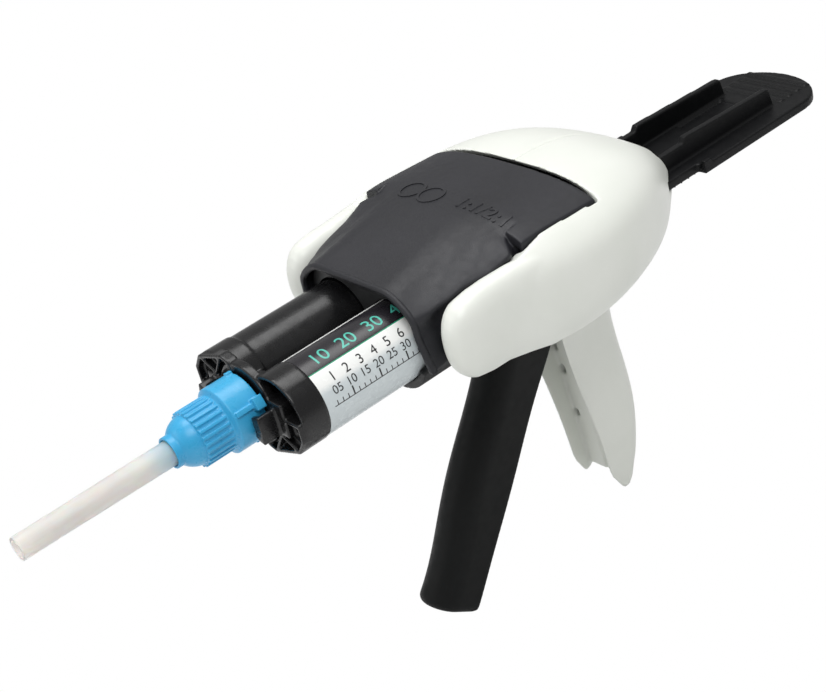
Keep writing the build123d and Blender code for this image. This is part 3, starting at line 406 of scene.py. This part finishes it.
# Skin over the step in the lid: where it starts, where the ears end, its reach and half widths
FILL_START_X = -0.0155
FILL_EAR_X = -0.0102
FILL_LENGTH = 0.0135
FILL_OVERLAP = 0.0012
FILL_HALF = 0.0312
FILL_FLAT_HALF = 0.022
FILL_DEPTH = 0.0008
FILL_COLUMNS = 24
FILL_ROWS = 78
PLATE_SIDE_X = FILL_START_X - 0.0004
HOOD_SIDE_X = FILL_START_X + 0.0006
FILL_END_X = FILL_START_X + FILL_LENGTH - 0.001


def fill_row(tree, row):
    """One row of the skin across the lid: place, height and the height of what lies below."""
    y = FILL_HALF * (2 * row / FILL_ROWS - 1)
    shift = smooth_step((abs(y) - FILL_FLAT_HALF) / (FILL_HALF - FILL_FLAT_HALF))
    start = FILL_START_X + (FILL_EAR_X - FILL_START_X) * shift
    plate = surface_below(tree, PLATE_SIDE_X, y).z
    hood = surface_below(tree, HOOD_SIDE_X, y).z
    points = []
    for column in range(FILL_COLUMNS + 1):
        x = FILL_START_X - FILL_OVERLAP + FILL_LENGTH * column / FILL_COLUMNS
        if x > FILL_START_X:
            base = min(surface_below(tree, x, y).z, hood)
            fade = 1 - smooth_step((x - start) / (FILL_END_X - start))
            points.append((x, y, base + (plate - hood) * fade, base))
        else:
            points.append((x, y, plate, plate))
    return points


def step_fill():
    """Thin skin over the lid where its rear plate meets the hood, so that the two flow together."""
    tree = tree_of(nodes["lid"].data)
    rows = [fill_row(tree, row) for row in range(FILL_ROWS + 1)]
    verts = [(x, y, z) for row in rows for x, y, z, base in row]
    verts += [(x, y, base - FILL_DEPTH) for row in rows for x, y, z, base in row]
    step = FILL_COLUMNS + 1
    low = step * (FILL_ROWS + 1)
    faces = []
    for row in range(FILL_ROWS):
        for column in range(FILL_COLUMNS):
            a = row * step + column
            faces.append((a, a + 1, a + 1 + step, a + step))
            faces.append((low + a, low + a + step, low + a + 1 + step, low + a + 1))
    for a in range(FILL_COLUMNS):
        b = FILL_ROWS * step + a
        faces.append((a, low + a, low + a + 1, a + 1))
        faces.append((b, b + 1, low + b + 1, low + b))
    for row in range(FILL_ROWS):
        a = row * step
        b = row * step + FILL_COLUMNS
        faces.append((a, a + step, low + a + step, low + a))
        faces.append((b, low + b, low + b + step, b + step))
    skin = bpy.data.meshes.new("step_fill")
    skin.from_pydata(verts, [], faces)
    return skin


def softened(node, voxel, rounds):
    """Copy of a CAD node whose edges are rounded by an even mesh and a few passes of smoothing."""
    piece = shown(node + "_form", nodes[node].data.copy())
    if node == "lid":
        joined = bmesh.new()
        joined.from_mesh(piece.data)
        joined.from_mesh(step_fill())
        joined.to_mesh(piece.data)
        joined.free()
    remesh = piece.modifiers.new("even", "REMESH")
    remesh.mode = "VOXEL"
    remesh.voxel_size = voxel / 1000
    remesh.use_smooth_shade = True
    smooth = piece.modifiers.new("round", "SMOOTH")
    smooth.factor = 0.5
    smooth.iterations = rounds
    settled(piece)
    piece.data.materials.clear()
    piece.data.materials.append(finishes[node])
    piece.data.shade_smooth()
    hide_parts(node)
    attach(piece, body_name(node))
    return piece


# Node, size of the even mesh in millimetres and passes of smoothing
SOFT_NODES = (
    ("left_shell", 0.55, 4),
    ("right_shell", 0.55, 4),
    ("lid", 0.4, 7),
    ("trigger", 0.45, 4),
    ("plunger", 0.42, 3),
    ("cradle", 0.4, 3),
    ("mixer_collar", 0.22, 3),
    ("cartridge_body", 0.42, 2),
)
softened_pieces = {node: softened(node, voxel, rounds) for node, voxel, rounds in SOFT_NODES}

# Seam between the shells: how far from the mid plane it reaches, and its depth
SEAM_REACH = 0.00055
SEAM_DEPTH = 0.0003


def groove_seam(piece):
    """Presses in the edge where the two shells meet, so that the joint line shows."""
    for vertex in piece.data.vertices:
        near = 1 - abs(vertex.co.y) / SEAM_REACH
        if near > 0:
            normal = Vector((vertex.normal.x, 0, vertex.normal.z))
            vertex.co -= normal * SEAM_DEPTH * near
    piece.data.update()


# Handle: its front edges roll inwards and its end is drawn in to a rounded tip
ROLL_DEPTH = 0.0017
ROLL_REACH = 0.009
ROLL_TOP_Z = -0.024
ROLL_FADE = 0.014
HANDLE_INNER = 0.0087
HANDLE_WIDENING = 0.0014
HANDLE_WIDE_Z = -0.030
HANDLE_WIDE_LENGTH = 0.030
HANDLE_WALL = 0.0021
# The handle's front edge: its place near the top and how far it moves back for each unit down
FRONT_X = -0.0366
FRONT_Z = -0.030
FRONT_SLOPE = 0.141
FRONT_MARGIN = 0.004
TIP_X = -0.0500
TIP_START_Z = -0.094
TIP_LENGTH = 0.014
TIP_FRONT_LENGTH = 0.0026
TIP_REAR_LENGTH = 0.0076
TIP_FRONT_LIFT = 0.0062
TIP_REAR_LIFT = 0.0055


def shape_handle(piece):
    """Rolls the channel's edges inwards and rounds the handle's end."""
    for vertex in piece.data.vertices:
        x, y, z = vertex.co
        if z > ROLL_TOP_Z or x > FRONT_X + FRONT_MARGIN:
            continue
        depth = FRONT_X + (z - FRONT_Z) * FRONT_SLOPE - x
        share = 1 - clamped(depth / ROLL_REACH)
        fade = smooth_step((ROLL_TOP_Z - z) / ROLL_FADE)
        inner = HANDLE_INNER + HANDLE_WIDENING * clamped(1 + (z - HANDLE_WIDE_Z) / HANDLE_WIDE_LENGTH)
        outward = clamped((abs(y) - inner) / HANDLE_WALL)
        vertex.co.y -= math.copysign(ROLL_DEPTH * share * share * fade * outward, y)
        ahead = (x - TIP_X) / TIP_FRONT_LENGTH
        behind = (TIP_X - x) / TIP_REAR_LENGTH
        if ahead > 0:
            lift = TIP_FRONT_LIFT * min(ahead, 1.3)
        else:
            lift = TIP_REAR_LIFT * min(behind * behind, 1.2)
        vertex.co.z += lift * clamped((TIP_START_Z - z) / TIP_LENGTH)
    piece.data.update()


for shell in ("left_shell", "right_shell"):
    groove_seam(softened_pieces[shell])
    shape_handle(softened_pieces[shell])


# Lid: the part of it that is drawn out starts at a station and at a distance from the mid plane
DRAWN_START_X = -0.0105
DRAWN_START_Y = 0.0205
DRAWN_FADE_X = 0.005
DRAWN_FADE_Y = 0.006
# The skirt beside the barrels flares and hangs lower
SKIRT_START_X = 0.011
SKIRT_FADE = 0.007
SKIRT_TURN_Z = 0.005
SKIRT_FLARE = 0.0018
SKIRT_LOW_Z = -0.0054
# The skirt's lowest edge in the CAD: station, height there and fall for each unit forward
EDGE_X = 0.012
EDGE_Z = 0.0015
EDGE_FALL = 0.467
# A soft dent in each side
DENT_X = 0.0182
DENT_WIDTH = 0.0024
DENT_DEPTH = 0.0007
DENT_LOW_Z = -0.004
DENT_LOW_FADE = 0.006
DENT_HIGH_Z = 0.0235
DENT_HIGH_FADE = 0.008
# The sides reach out over the lobes, furthest at the height given for each station
BRIM_REACH = 0.005
BRIM_SPREAD = 0.0032
BRIM_END_X = 0.016
BRIM_END_FADE = 0.014
BRIM_HEIGHTS = ((-0.010, 0.0195), (0.002, 0.016), (0.010, 0.0155), (0.017, 0.014), (0.030, 0.0105))


def brim_height(x):
    """Height at which the lid's side reaches furthest out, at a station along the lid."""
    for (rear, high), (front, low) in zip(BRIM_HEIGHTS, BRIM_HEIGHTS[1:]):
        if x <= front:
            return high + (low - high) * (x - rear) / (front - rear)
    return BRIM_HEIGHTS[-1][1]


def drawn_out(x, y, z):
    """Where a point of the hood goes: sides drawn out over the lobes, skirt flared, sides dented."""
    if x < DRAWN_START_X or abs(y) < DRAWN_START_Y:
        return y, z
    side = math.copysign(1, y)
    near = smooth_step((abs(y) - DRAWN_START_Y) / DRAWN_FADE_Y)
    rise = smooth_step((x - DRAWN_START_X) / DRAWN_FADE_X)
    reach = BRIM_REACH * rise * (1 - smooth_step((x - BRIM_END_X) / BRIM_END_FADE))
    above = (z - brim_height(x)) / BRIM_SPREAD
    window = smooth_step((z - DENT_LOW_Z) / DENT_LOW_FADE)
    window *= smooth_step((DENT_HIGH_Z - z) / DENT_HIGH_FADE)
    dent = DENT_DEPTH * window * math.exp(-(((x - DENT_X) / DENT_WIDTH) ** 2))
    new_y = y + side * near * (reach * math.exp(-above * above) - dent)
    new_z = z
    if z < SKIRT_TURN_Z:
        forward = smooth_step((x - SKIRT_START_X) / SKIRT_FADE)
        low = EDGE_Z - (x - EDGE_X) * EDGE_FALL
        below = (SKIRT_TURN_Z - z) / (SKIRT_TURN_Z - low)
        new_y += side * SKIRT_FLARE * forward * below
        new_z -= max(low - SKIRT_LOW_Z, 0) * forward * below
    return new_y, new_z


def shape_lid(piece):
    """Gives the hood the drawn-out sides of the moulding."""
    for vertex in piece.data.vertices:
        vertex.co.y, vertex.co.z = drawn_out(*vertex.co)
    piece.data.update()


shape_lid(softened_pieces["lid"])

# Collar: the nose swells to a dome before the neck, outside the bore's wall
NOSE_WALL_R = 0.0046
NOSE_START_X = 0.0901
NOSE_END_X = 0.0952
NOSE_R = 0.0078
NOSE_FOOT_R = 0.0050
NOSE_FULLNESS = 1.7
NOSE_ROUNDNESS = 0.8
CONE_START_R = 0.0072
CONE_SLOPE = 0.49


def shape_collar(piece):
    """Swells the cone of the collar's nose to a dome."""
    for vertex in piece.data.vertices:
        x, y, z = vertex.co
        radius = math.hypot(y, z)
        if NOSE_START_X < x < NOSE_END_X and radius > NOSE_WALL_R:
            share = (x - NOSE_START_X) / (NOSE_END_X - NOSE_START_X)
            swell = (1 - share ** NOSE_FULLNESS) ** NOSE_ROUNDNESS
            dome = NOSE_FOOT_R + (NOSE_R - NOSE_FOOT_R) * swell
            cone = CONE_START_R - (x - NOSE_START_X) * CONE_SLOPE
            grow = max(dome / max(cone, radius), 1)
            vertex.co.y *= grow
            vertex.co.z *= grow
    piece.data.update()


shape_collar(softened_pieces["mixer_collar"])

# Lip round the front of the lid, from the hood's last section in the CAD
LIP_HALF = 0.0275
LIP_TOP = 0.0183
LIP_CORNER = 0.013
LIP_TURN_Z = 0.005
LIP_LOW_Z = -0.0048
LIP_FLARE = 0.0016
LIP_RADIUS = 0.00115
LIP_X = 0.0258
LIP_INSET = 0.00075
LIP_STEPS = 12


def lid_lip():
    """A rounded bead along the front edge of the hood."""
    half = LIP_HALF - LIP_INSET
    top = LIP_TOP - LIP_INSET
    flat = LIP_HALF - LIP_CORNER
    corner = half - flat
    right = [(half + LIP_FLARE, LIP_LOW_Z)]
    for step in range(LIP_STEPS + 1):
        angle = math.radians(90 * step / LIP_STEPS)
        height = LIP_TURN_Z + (top - LIP_TURN_Z) * math.sin(angle)
        right.append((flat + corner * math.cos(angle), height))
    right = [drawn_out(LIP_X, y, z) for y, z in right]
    points = right + [(-y, z) for y, z in reversed(right)]
    curve = bpy.data.curves.new("lid_lip", "CURVE")
    curve.dimensions = "3D"
    curve.bevel_depth = LIP_RADIUS
    curve.bevel_resolution = 3
    curve.use_fill_caps = True
    path = curve.splines.new("POLY")
    path.points.add(len(points) - 1)
    for point, (y, z) in zip(path.points, points):
        point.co = (LIP_X, y, z, 1)
    mesh = mesh_of(bpy.data.objects.new("lid_lip_path", curve))
    piece = shown("lid_lip", mesh)
    mesh.shade_smooth()
    mesh.materials.clear()
    mesh.materials.append(lid_dark)
    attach(piece, "lid")


lid_lip()

# Mixing element: its blades, the sections of each, the share of the bore's half width and of its
# own length that a blade fills, and half its thickness
BLADES = 9
BLADE_STEPS = 14
BLADE_FIT = 0.96
BLADE_FILL = 0.99
BLADE_HALF = 0.00035


def helix_blade():
    """The mixing element: a thin blade that twists one way and then the other, a half turn each."""
    low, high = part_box("mixing_helix")
    start_x = low[0]
    end_x = high[0]
    half_width = min(high[1], high[2]) * BLADE_FIT
    verts = []
    faces = []
    for element in range(BLADES):
        element_start = start_x + (end_x - start_x) * element / BLADES
        element_length = (end_x - start_x) / BLADES * BLADE_FILL
        direction = 1 if element % 2 == 0 else -1
        base = len(verts)
        for step in range(BLADE_STEPS + 1):
            share = step / BLADE_STEPS
            turn = math.pi * share * direction + (math.pi / 2 if element % 2 else 0)
            x = element_start + element_length * share
            wide = Vector((0, math.cos(turn), math.sin(turn)))
            thin = Vector((0, -math.sin(turn), math.cos(turn)))
            for a, b in ((1, 1), (-1, 1), (-1, -1), (1, -1)):
                point = wide * half_width * a + thin * BLADE_HALF * b
                verts.append((x, point.y, point.z))
        for step in range(BLADE_STEPS):
            first = base + step * 4
            for corner in range(4):
                after = (corner + 1) % 4
                faces.append((first + corner, first + after, first + 4 + after, first + 4 + corner))
        faces.append((base + 3, base + 2, base + 1, base))
        last = base + BLADE_STEPS * 4
        faces.append((last, last + 1, last + 2, last + 3))
    mesh = bpy.data.meshes.new("helix_blade")
    mesh.from_pydata(verts, [], faces)
    piece = shown("helix_blade", mesh)
    mesh.materials.append(helix_white)
    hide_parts("mixing_helix")
    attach(piece, body_name("mixing_helix"))


helix_blade()

# Figures: longest edge, rounds of splitting and steps of a curve. On the label, their height above
# the film. On the lid, their height above it, how deep they are rooted, and the flat form's half
# thickness
FIGURE_EDGE = 0.0006
FIGURE_ROUNDS = 3
FIGURE_CURVE = 6
INK_HEIGHT = 0.00003
RAISED = 0.00028
ROOTED = 0.0004
FLAT_HALF = 0.0002
# Rows of figures on the label: numbers, size, place of the first along the barrel, distance to the
# next, angle about the barrel, and ink
FIGURE_ROWS = {
    "scale": (("10", "20", "30", "40"), 0.0064, 0.0560, 0.0098, 63.5, ink_teal),
    "row": (("1", "2", "3", "4", "5", "6", "7"), 0.0042, 0.0548, 0.0050, 33.0, ink_black),
    "tick": (("05", "10", "15", "20", "25", "30"), 0.0036, 0.0560, 0.0050, 16.5, ink_black),
}


def cut_up(mesh):
    """Splits a flat mesh of figures into small faces, so that it can follow a curved surface."""
    form = bmesh.new()
    form.from_mesh(mesh)
    bmesh.ops.triangulate(form, faces=form.faces)
    for _ in range(FIGURE_ROUNDS):
        long_edges = [edge for edge in form.edges if edge.calc_length() > FIGURE_EDGE]
        bmesh.ops.subdivide_edges(form, edges=long_edges, cuts=1)
        bmesh.ops.triangulate(form, faces=form.faces)
    form.to_mesh(mesh)
    form.free()


def figures(name, text, size, start_x, base_angle, material):
    """Plain figures on the label, wrapped about the barrel: they read towards the rear."""
    curve = bpy.data.curves.new(name, "FONT")
    curve.body = text
    curve.size = size
    curve.extrude = INK_HEIGHT
    curve.resolution_u = FIGURE_CURVE
    mesh = mesh_of(bpy.data.objects.new(name, curve))
    cut_up(mesh)
    for vertex in mesh.vertices:
        u, v, w = vertex.co
        angle = math.radians(base_angle) + v / LABEL_R
        radius = LABEL_R + w
        y = BARREL_Y + radius * math.cos(angle)
        vertex.co = (start_x - u, y, radius * math.sin(angle))
    piece = shown(name, mesh)
    mesh.materials.clear()
    mesh.materials.append(material)
    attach(piece, body_name("cartridge_label"))


for kind, (numbers, size, first_x, gap, base_angle, ink) in FIGURE_ROWS.items():
    for index, number in enumerate(numbers):
        figures(f"{kind}_figure_{number}", number, size, first_x - gap * index, base_angle, ink)


def on_lid(name, mesh, centre):
    """Raises a flat form out of the lid's top at a place given in metres."""
    tree = tree_of(softened_pieces["lid"].data)
    cut_up(mesh)
    for vertex in mesh.vertices:
        u, v, w = vertex.co
        x = centre[0] + u * math.cos(READ_ACROSS) - v * math.sin(READ_ACROSS)
        y = centre[1] + u * math.sin(READ_ACROSS) + v * math.cos(READ_ACROSS)
        top = surface_below(tree, x, y).z
        vertex.co = (x, y, top + (RAISED if w > 0 else -ROOTED))
    piece = shown(name, mesh)
    mesh.materials.clear()
    mesh.materials.append(lid_dark)
    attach(piece, "lid")


def flat_text(text, size, spacing):
    """Flat figures of a given size and letter spacing as a mesh, centred on the origin."""
    curve = bpy.data.curves.new("flat", "FONT")
    curve.body = text
    curve.size = size
    curve.extrude = FLAT_HALF
    curve.align_x = "CENTER"
    curve.align_y = "CENTER"
    curve.space_character = spacing
    curve.offset = 0.00012
    curve.resolution_u = FIGURE_CURVE
    return mesh_of(bpy.data.objects.new("flat", curve))


def flat_rings(radius, width, spacing):
    """Two rings side by side, the sign for a two-barrel cartridge."""
    form = bmesh.new()
    steps = 40
    for side in (-1, 1):
        loops = []
        for height in (-FLAT_HALF, FLAT_HALF):
            for r in (radius, radius - width):
                loop = []
                for step in range(steps):
                    angle = 2 * math.pi * step / steps
                    x = side * spacing / 2 + r * math.cos(angle)
                    loop.append(form.verts.new((x, r * math.sin(angle), height)))
                loops.append(loop)
        low_outer, low_inner, high_outer, high_inner = loops
        for step in range(steps):
            after = (step + 1) % steps
            form.faces.new((high_outer[step], high_outer[after], high_inner[after], high_inner[step]))
            form.faces.new((low_outer[after], low_outer[step], low_inner[step], low_inner[after]))
            form.faces.new((low_outer[step], low_outer[after], high_outer[after], high_outer[step]))
            form.faces.new((low_inner[after], low_inner[step], high_inner[step], high_inner[after]))
    mesh = bpy.data.meshes.new("rings")
    form.to_mesh(mesh)
    form.free()
    return mesh


# Raised figures on the lid: the turn in which they read across it, and their places
READ_ACROSS = math.radians(90)
RATIO_PLACE = (-0.0134, 0.0172)
SIGN_PLACE = (-0.0128, -0.0101)
on_lid("lid_ratio", flat_text("1:1/2:1", 0.0070, 1.15), RATIO_PLACE)
on_lid("lid_sign", flat_rings(0.0047, 0.0009, 0.0090), SIGN_PLACE)

# Stage: a white floor and a soft studio. Place, size in metres and power in watts of each light
FLOOR_HALF = 6.0
SKY_STRENGTH = 0.42
LIGHTS = {
    "key": ((0.25, 0.45, 0.85), (0.7, 0.5), 4.6),
    "fill": ((0.75, -0.35, 0.35), (0.6, 0.6), 1.2),
    "top": ((-0.1, -0.2, 0.85), (0.8, 0.5), 5.2),
}


def area_light(name, place, size, power):
    """A soft light of a size that points at the origin."""
    data = bpy.data.lights.new(name, "AREA")
    data.shape = "RECTANGLE"
    data.size = size[0]
    data.size_y = size[1]
    data.energy = power
    lamp = shown(name, data)
    lamp.location = place
    lamp.rotation_euler = (Vector() - Vector(place)).to_track_quat("-Z", "Y").to_euler()


def backdrop():
    """A wide flat floor, pure white to the camera only."""
    corners = ((-1, -1), (1, -1), (1, 1), (-1, 1))
    mesh = bpy.data.meshes.new("floor")
    mesh.from_pydata([(x * FLOOR_HALF, y * FLOOR_HALF, FLOOR_Z) for x, y in corners], [], [(0, 1, 2, 3)])
    floor = shown("floor", mesh)
    shader = Shader("floor_paper")
    shader.main.inputs["Base Color"].default_value = (0.82, 0.82, 0.82, 1)
    shader.main.inputs["Roughness"].default_value = 0.9
    white = shader.node("ShaderNodeEmission")
    white.inputs["Color"].default_value = (1, 1, 1, 1)
    path = shader.node("ShaderNodeLightPath")
    mix = shader.node("ShaderNodeMixShader")
    output = shader.tree.nodes["Material Output"]
    seen = shader.node("ShaderNodeMath", operation="MAXIMUM")
    shader.link(path.outputs["Is Camera Ray"], seen.inputs[0])
    shader.link(path.outputs["Is Transmission Ray"], seen.inputs[1])
    shader.link(seen.outputs["Value"], mix.inputs["Fac"])
    shader.link(shader.main.outputs["BSDF"], mix.inputs[1])
    shader.link(white.outputs["Emission"], mix.inputs[2])
    shader.link(mix.outputs["Shader"], output.inputs["Surface"])
    mesh.materials.append(shader.material)


backdrop()
world = bpy.data.worlds.new("studio")
bpy.context.scene.world = world
world.use_nodes = True
sky = world.node_tree.nodes["Background"]
sky.inputs["Color"].default_value = (1, 1, 1, 1)
sky.inputs["Strength"].default_value = SKY_STRENGTH
for name, (place, size, power) in LIGHTS.items():
    area_light(name, place, size, power)

# Camera
forward = Vector((
    -math.cos(VIEW_ELEVATION) * math.cos(VIEW_AZIMUTH),
    -math.cos(VIEW_ELEVATION) * math.sin(VIEW_AZIMUTH),
    -math.sin(VIEW_ELEVATION),
))
right = forward.cross(Vector((0, 0, 1))).normalized()
upward = right.cross(forward)
tilted_right = right * math.cos(VIEW_ROLL) + upward * math.sin(VIEW_ROLL)
tilted_up = upward * math.cos(VIEW_ROLL) - right * math.sin(VIEW_ROLL)
camera_data = bpy.data.cameras.new("camera")
camera_data.sensor_width = SENSOR_WIDTH
camera_data.lens = FOCAL_PIXELS / IMAGE_WIDTH * SENSOR_WIDTH
camera_data.clip_start = 0.01
camera_data.clip_end = 20.0
camera = shown("camera", camera_data)
place = TARGET - forward * DISTANCE
camera.matrix_world = Matrix((
    (tilted_right.x, tilted_up.x, -forward.x, place.x),
    (tilted_right.y, tilted_up.y, -forward.y, place.y),
    (tilted_right.z, tilted_up.z, -forward.z, place.z),
    (0, 0, 0, 1),
))
bpy.context.scene.camera = camera
bpy.context.scene.view_settings.view_transform = "Standard"
